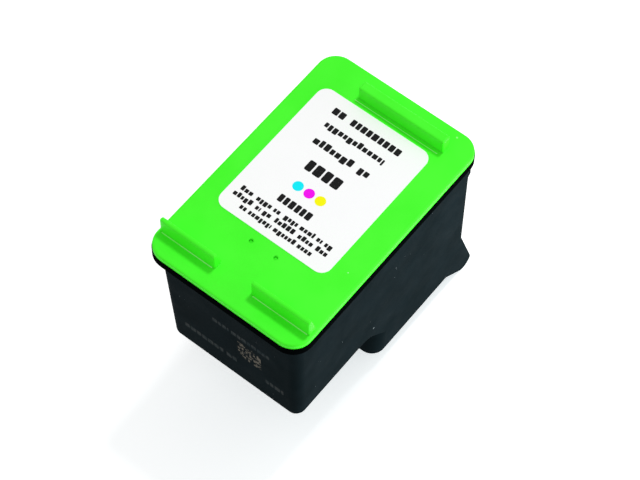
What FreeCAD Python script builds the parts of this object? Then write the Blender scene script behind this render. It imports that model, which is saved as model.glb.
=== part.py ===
import FreeCAD, Part
import math
import os
import re
import Sketcher
from FreeCAD import Vector

# Inkjet cartridge with three ink chambers and its own printhead. Millimetres throughout.
# The design frame has x across, y back from the front edge of the lid and z up from the joint
# between lid and housing. Every piece is then placed so that the origin lies under the middle
# of the cartridge, level with its lowest point: +X right, +Y towards the contacts, +Z up.

SIZES = {
    # whole cartridge
    "depth_below_joint": 50.0,
    # lid
    "lid_width": 35.0,
    "lid_length": 54.5,
    "lid_thickness": 1.2,
    "lid_corner": 4.0,
    "lid_edge_round": 0.35,
    # grip ribs at the front of the lid
    "grip_height": 4.0,
    "grip_from_front": 4.2,
    "grip_foot_depth": 2.1,
    "grip_top_depth": 0.9,
    "grip_round": 0.4,
    "left_grip_inset": 0.5,
    "left_grip_inner": 4.4,
    "right_grip_inset": 0.6,
    "right_grip_inner": 3.8,
    # rib at the rear of the lid
    "rear_rib_height": 3.3,
    "rear_rib_inset": 5.84,
    "rear_rib_depth": 2.0,
    "rear_rib_left": 6.9,
    "rear_rib_right": 12.6,
    "rear_rib_round": 0.3,
    # vent and filling holes in the lid
    "vent_hole": 0.8,
    "vent_from_front": 12.7,
    "vent_left": 3.04,
    "vent_right": 2.57,
    "filling_hole": 2.6,
    "filling_offset": 8.0,
    "front_filling_place": 17.6,
    "rear_filling_inset": 16.5,
    "groove_width": 0.5,
    "groove_depth": 0.35,
    # lid frames that drop into the chamber mouths, and the ribs that hold the foam down
    "mouth_clearance": 0.15,
    "frame_depth": 1.0,
    "frame_wall": 0.9,
    "hold_down_width": 1.0,
    "hold_down_margin": 3.0,
    # label
    "label_width": 25.1,
    "label_thickness": 0.12,
    "label_corner": 2.15,
    "label_from_front": 14.9,
    "label_rear_margin": 7.5,
    "label_offset": 0.9,
    # housing: flange and outer walls
    "flange_overhang": 0.15,
    "flange_thickness": 1.8,
    "side_inset": 1.4,
    "side_lean": 0.0255,
    "front_inset": 1.75,
    "front_lean": 0.041,
    "rear_inset": 0.9,
    "rear_lean": 0.0459,
    "front_corner": 2.1,
    "rear_corner": 1.2,
    "bottom_round": 0.3,
    # housing: shallow front part, step and deep rear part
    "step_height": 13.8,
    "slope_length": 2.8,
    "slope_height": 3.07,
    "deep_length": 26.2,
    "slope_round": 5.0,
    "step_round": 0.5,
    "step_corner": 3.0,
    # housing: chin with its rounded nose
    "chin_below_neck": 2.1,
    "nose_overhang": 4.65,
    "nose_radius": 2.0,
    "ear_length": 5.95,
    # housing: snout that carries the printhead
    "snout_width": 19.0,
    "snout_height": 4.5,
    "snout_length": 20.15,
    "snout_round": 1.5,
    # housing: key tab under the flange
    "tab_inset": 0.9,
    "tab_width": 2.2,
    "tab_height": 0.8,
    "tab_bottom_depth": 11.6,
    "tab_chamfer": 0.8,
    # housing: walls inside
    "wall": 1.4,
    "shelf_wall": 2.1,
    "divider": 1.2,
    "shelf_length": 3.1,
    # standpipes and the ink duct of the front chamber
    "standpipe_outside": 7.0,
    "standpipe_rise": 0.1,
    "standpipe_bore": 2.2,
    "standpipe_back_gap": 1.0,
    "rear_standpipe_side": 6.9,
    "feed_offset": 3.0,
    "duct_bore": 1.8,
    "duct_wall": 1.1,
    "duct_above_floor": 1.1,
    "plug_length": 2.0,
    "plug_clearance": 0.02,
    "plug_sink": 0.1,
    # foam and filters
    "foam_gap": 0.25,
    "foam_top_depth": 2.2,
    "filter_diameter": 6.4,
    "filter_thickness": 0.2,
    # printhead
    "die_from_snout_front": 9.0,
    "die_width": 5.0,
    "die_length": 14.0,
    "die_thickness": 0.65,
    "die_clearance": 0.3,
    "adhesive_thickness": 0.2,
    "nozzle_plate_margin": 0.15,
    "nozzle_plate_thickness": 0.08,
    "slot_pitch": 1.45,
    "slot_width": 0.5,
    "slot_length": 9.6,
    "slot_rise": 1.6,
    "encapsulant_width": 5.4,
    "encapsulant_length": 1.6,
    "encapsulant_overlap": 0.6,
    "encapsulant_height": 0.13,
    "encapsulant_round": 0.1,
    # flex circuit and its contacts
    "flex_recess": 0.35,
    "flex_thickness": 0.15,
    "flex_clearance": 0.2,
    "flex_side_margin": 3.6,
    "flex_neck": 15.0,
    "field_top_border": 2.1,
    "field_bottom_border": 3.05,
    "field_side_border": 2.3,
    "shoulder_height": 4.0,
    "flex_end_margin": 1.2,
    "window_clearance": 0.1,
    "contact_height": 2.0,
    "contact_thickness": 0.05,
    "contact_gap_across": 0.65,
    "contact_gap_down": 1.1,
    "contact_centre_gap": 4.6,
    "contact_stagger": 0.45,
    "contact_top_depth": 9.6,
}
CONTACT_COLUMNS_EACH_SIDE = 4
CONTACT_ROWS = 6
PICKING_REACH = 0.05

# Places and sizes that follow from those above, as formulas; later ones may use earlier ones.
PLACES = {
    "body_width": "lid_width - 2 * side_inset",
    "rear_place": "lid_length - rear_inset",
    "step_place": "rear_place - deep_length",
    "slope_start": "step_place - slope_length",
    "divider_front": "slope_start - shelf_length - divider / 2",
    "divider_rear": "slope_start - shelf_length + divider / 2",
    "nose_place": "lid_length + nose_overhang - nose_radius",
    "nose_depth": "depth_below_joint - nose_radius",
    "ear_root": "nose_place - ear_length",
    "snout_front": "nose_place - snout_length",
    "snout_face": "depth_below_joint - flex_recess",
    "deep_depth": "depth_below_joint - snout_height",
    "front_depth": "deep_depth - step_height",
    "slope_end_depth": "front_depth + slope_height",
    "front_floor": "front_depth - wall",
    "sump_floor": "deep_depth - wall",
    "die_place": "snout_front + die_from_snout_front",
    "pocket_depth": "adhesive_thickness + die_thickness + nozzle_plate_thickness - flex_thickness",
    "pocket_floor": "snout_face - pocket_depth",
    "slot_top": "pocket_floor - slot_rise",
    "duct_outside": "duct_bore + 2 * duct_wall",
    "duct_depth": "front_floor - duct_above_floor",
    "standpipe_height": "duct_above_floor + duct_outside / 2 + standpipe_rise",
    "front_standpipe": "divider_front - standpipe_back_gap - standpipe_outside / 2",
    "rear_standpipe": "die_place - feed_offset",
    "flex_width": "body_width - 2 * flex_side_margin",
    "contact_room": "flex_width / 2 - field_side_border - contact_centre_gap / 2 + contact_gap_across / 2",
    "contact_pitch": f"contact_room / {CONTACT_COLUMNS_EACH_SIDE - 0.5}",
    "contact_width": "contact_pitch - contact_gap_across",
    "contact_drop": "contact_height + contact_gap_down",
    "lowest_contact": f"contact_top_depth + {CONTACT_ROWS - 1} * contact_drop"
                      f" + {CONTACT_COLUMNS_EACH_SIDE - 1} * contact_stagger",
    "field_top": "contact_top_depth - contact_height / 2 - field_top_border",
    "field_bottom": "lowest_contact + contact_height / 2 + field_bottom_border",
    "neck_start": "field_bottom + shoulder_height",
    "chin_start": "neck_start + chin_below_neck",
}

doc = FreeCAD.newDocument("ink_cartridge")
sheet = doc.addObject("Spreadsheet::Sheet", "Sizes")
for row, (alias, value) in enumerate(SIZES.items(), start=1):
    sheet.set(f"A{row}", str(value))
    sheet.setAlias(f"A{row}", alias)
doc.recompute()
places = doc.addObject("App::VarSet", "Places")


def formula(text):
    """The expression for a formula written with the plain names of sizes and places."""
    owners = {**dict.fromkeys(PLACES, "Places"), **dict.fromkeys(SIZES, "Sizes")}
    return re.sub(r"[a-z_]+", lambda word: f"{owners[word[0]]}.{word[0]}" if word[0] in owners else word[0], text)


def size(name):
    """The present value of one size or place."""
    return float(getattr(sheet if name in SIZES else places, name))


def bind(feature, prop, text):
    """Tie one property of a feature to the sheet."""
    feature.setExpression(prop, formula(text))


def side_wall(depth):
    """Half width of the housing at a depth under the joint, where the side walls lean inwards."""
    return f"(body_width / 2 - side_lean * ({depth}))"


def front_wall(depth):
    """Place of the front wall's outer face at a depth under the joint."""
    return f"(front_inset + front_lean * ({depth}))"


def rear_wall(depth):
    """Place of the rear wall's outer face at a depth under the joint, where it leans outwards."""
    return f"(rear_place + rear_lean * ({depth}))"


for name, text in PLACES.items():
    places.addProperty("App::PropertyFloat", name)
    bind(places, name, text)
doc.recompute()


# Short names for the steps that every piece repeats.

def new_body(label):
    """A piece of the cartridge, placed in the frame of the whole part."""
    body = doc.addObject("PartDesign::Body", label)
    body.Label = label
    bind(body, ".Placement.Base.y", "-(nose_place + nose_radius - flange_overhang) / 2")
    bind(body, ".Placement.Base.z", "depth_below_joint")
    return body


def new_sketch(body, name, role, offset="0"):
    """A sketch on one of the body's own origin planes, moved along that plane's normal."""
    sketch = body.newObject("Sketcher::SketchObject", name)
    support = [plane for plane in body.Origin.OriginFeatures if plane.Role == role]
    sketch.AttachmentSupport = [(support[0], "")]
    sketch.MapMode = "FlatFace"
    bind(sketch, ".AttachmentOffset.Base.z", offset)
    return sketch


def locate(sketch, geometry, end, across, up):
    """Tie a point of a sketch to its two coordinates."""
    for kind, text in (("DistanceX", across), ("DistanceY", up)):
        index = sketch.addConstraint(Sketcher.Constraint(kind, -1, 1, geometry, end, 1.0))
        bind(sketch, f"Constraints[{index}]", text)


def add_polygon(sketch, corners):
    """A closed outline of straight lines through corners given as pairs of formulas."""
    first = sketch.GeometryCount
    count = len(corners)
    for k in range(count):
        here = Vector(math.cos(2 * math.pi * k / count), math.sin(2 * math.pi * k / count), 0)
        there = Vector(math.cos(2 * math.pi * (k + 1) / count), math.sin(2 * math.pi * (k + 1) / count), 0)
        sketch.addGeometry(Part.LineSegment(here, there))
    for k in range(count):
        following = first + (k + 1) % count
        sketch.addConstraint(Sketcher.Constraint("Coincident", first + k, 2, following, 1))
    for k, (across, up) in enumerate(corners):
        locate(sketch, first + k, 1, across, up)


def add_rectangle(sketch, left, right, low, high):
    """A rectangle between two places across and two places up."""
    add_polygon(sketch, [(left, low), (right, low), (right, high), (left, high)])


def add_circle(sketch, across, up, diameter):
    """A circle whose centre and diameter follow the sheet."""
    geometry = sketch.addGeometry(Part.Circle(Vector(0, 0, 0), Vector(0, 0, 1), 1.0))
    locate(sketch, geometry, 3, across, up)
    index = sketch.addConstraint(Sketcher.Constraint("Diameter", geometry, 2.0))
    bind(sketch, f"Constraints[{index}]", diameter)


def add_feature(body, kind, name, sketch, length=None, backwards=False, both_ways=False):
    """A pad or pocket of a sketch; a pocket without a length goes right through."""
    feature = body.newObject(f"PartDesign::{kind}", name)
    feature.Profile = sketch
    if both_ways:
        feature.SideType = "Symmetric"
    if length is None:
        feature.Type = "ThroughAll"
    else:
        bind(feature, "Length", length)
    feature.Reversed = backwards
    body.Tip = feature
    doc.recompute()
    return feature


def add_loft(body, kind, name, sketches):
    """A straight-sided loft through sketches at different depths."""
    loft = body.newObject(f"PartDesign::{kind}", name)
    loft.Profile = sketches[0]
    loft.Sections = sketches[1:]
    loft.Ruled = True
    body.Tip = loft
    doc.recompute()
    return loft


def round_edges(body, name, radius, chosen):
    """A fillet on the edges of the body's last feature that the test picks."""
    last = body.Tip
    edges = [f"Edge{k}" for k, edge in enumerate(last.Shape.Edges, start=1) if chosen(edge)]
    fillet = body.newObject("PartDesign::Fillet", name)
    fillet.Base = (last, edges)
    bind(fillet, "Radius", radius)
    body.Tip = fillet
    doc.recompute()
    return fillet


def middle(edge):
    """The middle point of an edge."""
    return edge.valueAt((edge.FirstParameter + edge.LastParameter) / 2)


def is_near(value, target):
    """Whether two lengths agree closely enough to pick an edge by its place."""
    return abs(value - target) < PICKING_REACH


def stands_up(edge):
    """Whether an edge runs from top to bottom, straight up or with a wall's lean."""
    box = edge.BoundBox
    return box.ZLength > box.XLength + box.YLength


# The rear wall, the chin's face, the round of the nose and the underside, which the housing's
# outline and the flex circuit both follow.

def touch_point(outside, centre, radius, turn):
    """Where a straight line from an outside point touches a circle, turned to either side."""
    reach = centre - outside
    slant = math.atan2(reach.y, reach.x) + turn * math.asin(radius / reach.Length)
    run = math.sqrt(reach.Length ** 2 - radius ** 2)
    return outside + Vector(math.cos(slant), math.sin(slant), 0) * run


def add_wrap(sketch, inset, start_depth, end_place, end_depth, root, reference=None):
    """The chain down the rear wall and round the nose to a root, set in from the outer faces."""
    radius = size("nose_radius")
    chin_depth = size("chin_start")
    corner = Vector(size("rear_place") + size("rear_lean") * chin_depth, -chin_depth, 0)
    centre = Vector(size("nose_place"), -size("nose_depth"), 0)
    upper = touch_point(corner, centre, radius, 1)
    lower = touch_point(root, centre, radius, -1)
    upper_angle = math.atan2(upper.y - centre.y, upper.x - centre.x)
    lower_angle = math.atan2(lower.y - centre.y, lower.x - centre.x)
    circle = Part.Circle(centre, Vector(0, 0, 1), radius)
    wall = sketch.addGeometry(Part.LineSegment(Vector(size("rear_place"), 0, 0), corner))
    chin = sketch.addGeometry(Part.LineSegment(corner, upper))
    nose = sketch.addGeometry(Part.ArcOfCircle(circle, lower_angle, upper_angle))
    under = sketch.addGeometry(Part.LineSegment(lower, root))
    sketch.addConstraint(Sketcher.Constraint("Coincident", wall, 2, chin, 1))
    sketch.addConstraint(Sketcher.Constraint("Tangent", chin, 2, nose, 2))
    sketch.addConstraint(Sketcher.Constraint("Tangent", under, 1, nose, 1))
    locate(sketch, nose, 3, "nose_place", "-nose_depth")
    index = sketch.addConstraint(Sketcher.Constraint("Radius", nose, radius))
    bind(sketch, f"Constraints[{index}]", f"nose_radius - ({inset})")
    set_in = f"({inset}) * sqrt(1 + rear_lean ^ 2)"
    locate(sketch, wall, 1, f"{rear_wall(start_depth)} - {set_in}", f"-({start_depth})")
    if reference is None:
        locate(sketch, wall, 2, rear_wall("chin_start"), "-chin_start")
    else:
        sketch.addConstraint(Sketcher.Constraint("Parallel", wall, reference[0]))
        sketch.addConstraint(Sketcher.Constraint("Parallel", chin, reference[1]))
    locate(sketch, under, 2, end_place, f"-({end_depth})")
    return wall, chin, nose, under


def add_wrap_band(sketch, inner, outer, start_depth, front_end):
    """The closed section between two insets of that chain."""
    root = Vector(size("snout_front"), -size("depth_below_joint"), 0)
    reference = add_wrap(sketch, "0", start_depth, front_end, "depth_below_joint", root)
    for geometry in reference:
        sketch.toggleConstruction(geometry)
    inside, outside = [add_wrap(sketch, inset, start_depth, front_end,
                                f"depth_below_joint - ({inset})", root, reference)
                       for inset in (inner, outer)]
    for here, there, end in ((inside[0], outside[0], 1), (inside[3], outside[3], 2)):
        cap = sketch.addGeometry(Part.LineSegment(sketch.getPoint(here, end),
                                                  sketch.getPoint(there, end) + Vector(1, 1, 0)))
        sketch.addConstraint(Sketcher.Constraint("Coincident", cap, 1, here, end))
        sketch.addConstraint(Sketcher.Constraint("Coincident", cap, 2, there, end))


def add_side_outline(sketch):
    """The housing's outline from the side: front part, step, deep part, chin and nose."""
    root = Vector(size("ear_root"), -size("deep_depth"), 0)
    wall, chin, nose, under = add_wrap(sketch, "0", "0", "ear_root", "deep_depth", root)
    corners = [(front_wall("0"), "0"),
               (front_wall("front_depth"), "-front_depth"),
               ("slope_start", "-front_depth"),
               ("step_place", "-slope_end_depth"),
               ("step_place", "-deep_depth")]
    lines = [sketch.addGeometry(Part.LineSegment(Vector(k, -k, 0), Vector(k + 1, -k - 2, 0)))
             for k in range(len(corners) + 1)]
    sketch.addConstraint(Sketcher.Constraint("Coincident", lines[0], 1, wall, 1))
    for k, (place, height) in enumerate(corners):
        sketch.addConstraint(Sketcher.Constraint("Coincident", lines[k], 2, lines[k + 1], 1))
        locate(sketch, lines[k + 1], 1, place, height)
    sketch.addConstraint(Sketcher.Constraint("Coincident", lines[-1], 2, under, 2))


def add_flange(body, thickness, overhang, top):
    """A plate with the lid's outline, its corners rounded, from a height downwards."""
    outline = new_sketch(body, "PlateOutline", "XY_Plane", top)
    add_rectangle(outline, f"-lid_width / 2 - {overhang}", f"lid_width / 2 + {overhang}",
                  f"-{overhang}", f"lid_length + {overhang}")
    add_feature(body, "Pad", "Plate", outline, thickness, backwards=True)


def chamber_mouth(side, depth, gap="0"):
    """Edges of a chamber's opening at a depth: left, right, front and rear, set in by a gap."""
    outer = f"({side_wall(depth)} - wall - ({gap}))"
    if side == 0:
        return f"-{outer}", outer, f"{front_wall(depth)} + wall + ({gap})", f"divider_front - ({gap})"
    rear = f"{rear_wall(depth)} - flex_recess - wall - ({gap})"
    near = f"(divider / 2 + ({gap}))"
    edges = (f"-{outer}", f"-{near}") if side < 0 else (near, outer)
    return *edges, f"divider_rear + ({gap})", rear


def chamber_sections(body, side, name, gap="0", top="0", floor_gap="0"):
    """Sketches of a chamber's sections from its top to its floor, each set in by a gap."""
    sections = []
    for k, depth in enumerate((top, f"front_floor - {floor_gap}")):
        sketch = new_sketch(body, f"{name}Section{k}", "XY_Plane", f"-({depth})")
        add_rectangle(sketch, *chamber_mouth(side, depth, gap))
        sections.append(sketch)
    return sections


def sump_sections(body, side, name, gap="0", floor_gap="0"):
    """Sketches of the deep part of a rear chamber, which follows the slope under its shelf."""
    starts = [(f"front_floor - {floor_gap}", "slope_start + shelf_wall"),
              ("slope_end_depth", "step_place + wall"),
              (f"sump_floor - {floor_gap}", "step_place + wall")]
    sections = []
    for k, (depth, start) in enumerate(starts):
        left, right, _, rear = chamber_mouth(side, depth, gap)
        sketch = new_sketch(body, f"{name}Sump{k}", "XY_Plane", f"-({depth})")
        add_rectangle(sketch, left, right, f"{start} + {gap}", rear)
        sections.append(sketch)
    return sections


SIDES = {"Front": 0, "RearLeft": -1, "RearRight": 1}


def make_housing():
    """The moulded tub: flange, outer walls, chin, snout, chambers, standpipes and ink ducts."""
    body = new_body("body_housing")

    # The outline seen from the side, as wide as the body, with the side walls' lean cut off it.
    outline = new_sketch(body, "SideOutline", "YZ_Plane")
    add_side_outline(outline)
    add_feature(body, "Pad", "Block", outline, "body_width", both_ways=True)
    slope_top = (size("slope_start"), -size("front_depth"))
    round_edges(body, "SlopeTop", "slope_round",
                lambda edge: is_near(middle(edge).y, slope_top[0]) and is_near(middle(edge).z, slope_top[1]))
    lean = new_sketch(body, "SideLean", "XZ_Plane")
    for sign in ("-", ""):
        add_polygon(lean, [(f"{sign}body_width / 2", "0"),
                           (f"{sign}lid_width", "0"),
                           (f"{sign}lid_width", "-depth_below_joint"),
                           (f"{sign}{side_wall('depth_below_joint')}", "-depth_below_joint")])
    add_feature(body, "Pocket", "SideLeanCut", lean, both_ways=True)
    front_reach = size("front_inset") + size("front_lean") * size("front_depth")
    rear_reach = size("rear_place")
    round_edges(body, "FrontCorners", "front_corner",
                lambda edge: stands_up(edge) and middle(edge).y < front_reach + PICKING_REACH)
    round_edges(body, "RearCorners", "rear_corner",
                lambda edge: stands_up(edge) and middle(edge).y > rear_reach
                and middle(edge).z > -size("chin_start"))
    step_face = size("step_place")
    round_edges(body, "StepCorners", "step_corner",
                lambda edge: stands_up(edge) and is_near(middle(edge).y, step_face))
    deep_bottom = -size("deep_depth")
    round_edges(body, "StepBottomEdge", "step_round",
                lambda edge: is_near(middle(edge).z, deep_bottom) and is_near(middle(edge).y, step_face))
    front_bottom = -size("front_depth")
    round_edges(body, "FrontBottomEdge", "bottom_round",
                lambda edge: is_near(middle(edge).z, front_bottom)
                and middle(edge).y < front_reach + size("front_corner"))

    # The flange round the mouth, the snout and the key tab.
    add_flange(body, "flange_thickness", "flange_overhang", "0")
    round_edges(body, "FlangeCorners", "lid_corner + flange_overhang",
                lambda edge: stands_up(edge) and middle(edge).z > -size("flange_thickness"))
    snout = new_sketch(body, "SnoutOutline", "XY_Plane", "-deep_depth + wall / 2")
    add_rectangle(snout, "-snout_width / 2", "snout_width / 2", "snout_front", "nose_place")
    add_feature(body, "Pad", "Snout", snout, "snout_face - deep_depth + wall / 2", backwards=True)
    front_of_snout = size("snout_front")
    round_edges(body, "SnoutFront", "snout_round",
                lambda edge: stands_up(edge) and is_near(middle(edge).y, front_of_snout))
    tab = new_sketch(body, "KeyTabOutline", "YZ_Plane", "body_width / 2 - tab_inset - tab_width")
    add_polygon(tab, [(f"{rear_wall('0')} - wall / 2", "-flange_thickness / 2"),
                      (f"{rear_wall('0')} + tab_height", "-flange_thickness / 2"),
                      (f"{rear_wall('tab_bottom_depth')} + tab_height", "-tab_bottom_depth + tab_chamfer"),
                      (f"{rear_wall('tab_bottom_depth')}", "-tab_bottom_depth"),
                      (f"{rear_wall('tab_bottom_depth')} - wall / 2", "-tab_bottom_depth")])
    add_feature(body, "Pad", "KeyTab", tab, "tab_width")

    # The shallow recess that the flex circuit lies in, wide for its contacts and narrow round the nose.
    start = "field_top - flex_clearance"
    field = new_sketch(body, "FieldRecess", "YZ_Plane")
    set_in = "flex_recess * sqrt(1 + rear_lean ^ 2)"
    add_polygon(field, [(f"{rear_wall(start)} - {set_in}", f"-({start})"),
                        (f"{rear_wall(start)} + wall", f"-({start})"),
                        (f"{rear_wall('neck_start')} + wall", "-(neck_start + flex_clearance)"),
                        (f"{rear_wall('neck_start + flex_clearance')} - {set_in}",
                         "-(neck_start + flex_clearance)")])
    add_feature(body, "Pocket", "FieldRecessCut", field, "flex_width + 2 * flex_clearance", both_ways=True)
    neck = new_sketch(body, "NeckRecess", "YZ_Plane")
    add_wrap_band(neck, "flex_recess", "-flex_recess", start, "nose_place - nose_radius")
    add_feature(body, "Pocket", "NeckRecessCut", neck, "flex_neck + 2 * flex_clearance", both_ways=True)

    # Three chambers open at the top; the rear two run on down into the deep part.
    for name, side in SIDES.items():
        add_loft(body, "SubtractiveLoft", f"{name}Chamber", chamber_sections(body, side, name))
        if side != 0:
            add_loft(body, "SubtractiveLoft", f"{name}Sump", sump_sections(body, side, name))

    # Ink duct of the front chamber: a thick rib through the divider, with a drop pipe to the snout.
    rib = new_sketch(body, "DuctRibOutline", "YZ_Plane")
    add_rectangle(rib, "front_standpipe", f"{rear_wall("duct_depth")} - flex_recess - wall / 2",
                  "-(duct_depth + duct_outside / 2)", "-(duct_depth - duct_outside / 2)")
    add_feature(body, "Pad", "DuctRib", rib, "duct_outside", both_ways=True)
    drop = new_sketch(body, "DropPipeOutline", "XY_Plane", "-duct_depth")
    add_circle(drop, "0", "rear_standpipe", "duct_outside")
    add_feature(body, "Pad", "DropPipe", drop, "sump_floor + wall / 2 - duct_depth", backwards=True)
    for name, side in SIDES.items():
        floor = "front_floor" if side == 0 else "sump_floor"
        across, place = standpipe_centre(side)
        pipe = new_sketch(body, f"{name}StandpipeOutline", "XY_Plane", f"-{floor} - wall / 2")
        add_circle(pipe, across, place, "standpipe_outside")
        add_feature(body, "Pad", f"{name}Standpipe", pipe, "standpipe_height + wall / 2")

    # Bores: down each standpipe, back along the duct, and down or inwards to the slots of the die.
    for name, side in SIDES.items():
        floor, bottom = ("front_floor", "duct_depth") if side == 0 else ("sump_floor", "sump_floor")
        across, place = standpipe_centre(side)
        bore = new_sketch(body, f"{name}BoreOutline", "XY_Plane", f"-{floor} + standpipe_height")
        add_circle(bore, across, place, "standpipe_bore")
        add_feature(body, "Pocket", f"{name}Bore", bore, f"{bottom} - {floor} + standpipe_height")
        if side != 0:
            wide = new_sketch(body, f"{name}FeedTop", "XY_Plane", "-sump_floor")
            add_circle(wide, across, place, "standpipe_bore")
            fine = new_sketch(body, f"{name}FeedEnd", "XY_Plane", "-slot_top")
            add_circle(fine, f"{side} * slot_pitch", place, "2 * slot_width")
            add_loft(body, "SubtractiveLoft", f"{name}Feed", [wide, fine])
    duct = new_sketch(body, "DuctBoreOutline", "XZ_Plane", "-front_standpipe")
    add_circle(duct, "0", "-duct_depth", "duct_bore")
    add_feature(body, "Pocket", "DuctBore", duct, "nose_place - front_standpipe")
    fall = new_sketch(body, "DropBoreOutline", "XY_Plane", "-duct_depth")
    add_circle(fall, "0", "rear_standpipe", "duct_bore")
    add_feature(body, "Pocket", "DropBore", fall, "sump_floor - duct_depth")
    narrow = new_sketch(body, "DropNeckTop", "XY_Plane", "-sump_floor")
    add_circle(narrow, "0", "rear_standpipe", "duct_bore")
    neck_end = new_sketch(body, "DropNeckEnd", "XY_Plane", "-slot_top")
    add_circle(neck_end, "0", "rear_standpipe", "2 * slot_width")
    add_loft(body, "SubtractiveLoft", "DropNeck", [narrow, neck_end])

    # The pocket for the die in the snout's face, with the three ink slots in its floor.
    pocket = new_sketch(body, "DiePocketOutline", "XY_Plane", "-snout_face")
    add_rectangle(pocket, *die_edges("die_clearance"))
    add_feature(body, "Pocket", "DiePocket", pocket, "pocket_depth", backwards=True)
    slots = new_sketch(body, "SlotOutlines", "XY_Plane", "-pocket_floor")
    add_slots(slots)
    add_feature(body, "Pocket", "Slots", slots, "slot_rise", backwards=True)
    return body


def standpipe_centre(side):
    """Where a chamber's standpipe stands: across and back."""
    if side == 0:
        return "0", "front_standpipe"
    return f"{side} * rear_standpipe_side", "rear_standpipe"


def die_edges(gap):
    """The die's outline grown by a gap: left, right, front and rear."""
    return (f"-die_width / 2 - {gap}", f"die_width / 2 + {gap}",
            f"die_place - die_length / 2 - {gap}", f"die_place + die_length / 2 + {gap}")


def add_slots(sketch):
    """The three long slots that feed the die, one for each ink."""
    for side in SIDES.values():
        add_rectangle(sketch, f"{side} * slot_pitch - slot_width / 2", f"{side} * slot_pitch + slot_width / 2",
                      "die_place - slot_length / 2", "die_place + slot_length / 2")


def make_lid():
    """The welded lid: plate, ribs on top, holes and vent grooves, and the frames underneath."""
    body = new_body("lid")
    add_flange(body, "lid_thickness", "0", "lid_thickness")
    round_edges(body, "PlateCorners", "lid_corner", stands_up)
    round_edges(body, "PlateTopEdge", "lid_edge_round",
                lambda edge: is_near(edge.BoundBox.ZMin, size("lid_thickness")))

    # Two grip ribs: upright in front, narrow on top and sloping back down to the lid.
    grip_top = "lid_thickness + grip_height"
    grips = (("LeftGrip", "left_grip_inset - lid_width / 2", "left_grip_inset", "left_grip_inner"),
             ("RightGrip", "right_grip_inner", "right_grip_inset", "right_grip_inner"))
    for name, start, inset, inner in grips:
        wedge = new_sketch(body, f"{name}Outline", "YZ_Plane", start)
        add_polygon(wedge, [("grip_from_front", "lid_thickness / 2"),
                            ("grip_from_front", grip_top),
                            ("grip_from_front + grip_top_depth", grip_top),
                            ("grip_from_front + grip_foot_depth", "lid_thickness"),
                            ("grip_from_front + grip_foot_depth", "lid_thickness / 2")])
        add_feature(body, "Pad", name, wedge, f"lid_width / 2 - {inset} - {inner}")
    crest = size("lid_thickness") + size("grip_height")
    round_edges(body, "GripEdges", "grip_round",
                lambda edge: edge.BoundBox.ZMax > crest - PICKING_REACH)

    # The rib at the rear, off the middle.
    rib = new_sketch(body, "RearRibOutline", "XY_Plane", "lid_thickness / 2")
    add_rectangle(rib, "-rear_rib_left", "rear_rib_right",
                  "lid_length - rear_rib_inset", "lid_length - rear_rib_inset + rear_rib_depth")
    add_feature(body, "Pad", "RearRib", rib, "rear_rib_height + lid_thickness / 2")
    rib_top = size("lid_thickness") + size("rear_rib_height")
    rib_front = size("lid_length") - size("rear_rib_inset")
    round_edges(body, "RearRibEdges", "rear_rib_round",
                lambda edge: edge.BoundBox.ZMax > rib_top - PICKING_REACH
                and middle(edge).y > rib_front - PICKING_REACH)

    # Frames that drop into the three chamber mouths, each with two ribs that hold its foam down.
    frames = new_sketch(body, "FrameOutlines", "XY_Plane", "lid_thickness / 2")
    ribs = new_sketch(body, "HoldDownOutlines", "XY_Plane", "lid_thickness / 2")
    for side in SIDES.values():
        add_rectangle(frames, *chamber_mouth(side, "foam_top_depth", "mouth_clearance"))
        add_rectangle(frames, *chamber_mouth(side, "foam_top_depth", "(mouth_clearance + frame_wall)"))
        left, right, front, rear = chamber_mouth(side, "foam_top_depth", "hold_down_margin")
        add_rectangle(ribs, left, right, front, f"{front} + hold_down_width")
        add_rectangle(ribs, left, right, f"{rear} - hold_down_width", rear)
    add_feature(body, "Pad", "MouthFrames", frames, "frame_depth + lid_thickness / 2", backwards=True)
    add_feature(body, "Pad", "HoldDownRibs", ribs, "foam_top_depth + lid_thickness / 2", backwards=True)

    # Filling holes, closed by the label, and grooves under it that let air out at the vent holes.
    holes = new_sketch(body, "FillingHoles", "XY_Plane", "lid_thickness")
    for side in SIDES.values():
        place = "front_filling_place" if side == 0 else "lid_length - rear_filling_inset"
        add_circle(holes, f"{side} * filling_offset", place, "filling_hole")
    add_feature(body, "Pocket", "FillingHoleCut", holes, "2 * lid_thickness")
    vents = new_sketch(body, "VentHoles", "XY_Plane", "lid_thickness")
    for across in ("-vent_left", "vent_right"):
        add_circle(vents, across, "vent_from_front", "vent_hole")
    add_feature(body, "Pocket", "VentHoleCut", vents, "2 * lid_thickness")
    grooves = new_sketch(body, "VentGrooves", "XY_Plane", "lid_thickness")
    for across, end in (("-vent_left", "lid_length - rear_filling_inset - filling_hole"),
                        ("vent_right", "front_filling_place + 2 * filling_hole")):
        add_rectangle(grooves, f"{across} - groove_width / 2", f"{across} + groove_width / 2",
                      "label_from_front + groove_width", end)
    add_feature(body, "Pocket", "VentGrooveCut", grooves, "groove_depth")
    return body


def make_label():
    """The paper label on the lid, its corners rounded."""
    body = new_body("top_label")
    outline = new_sketch(body, "LabelOutline", "XY_Plane", "lid_thickness")
    add_rectangle(outline, "-label_offset - label_width / 2", "-label_offset + label_width / 2",
                  "label_from_front", "lid_length - label_rear_margin")
    add_feature(body, "Pad", "Sheet", outline, "label_thickness")
    round_edges(body, "LabelCorners", "label_corner", stands_up)
    return body


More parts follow.
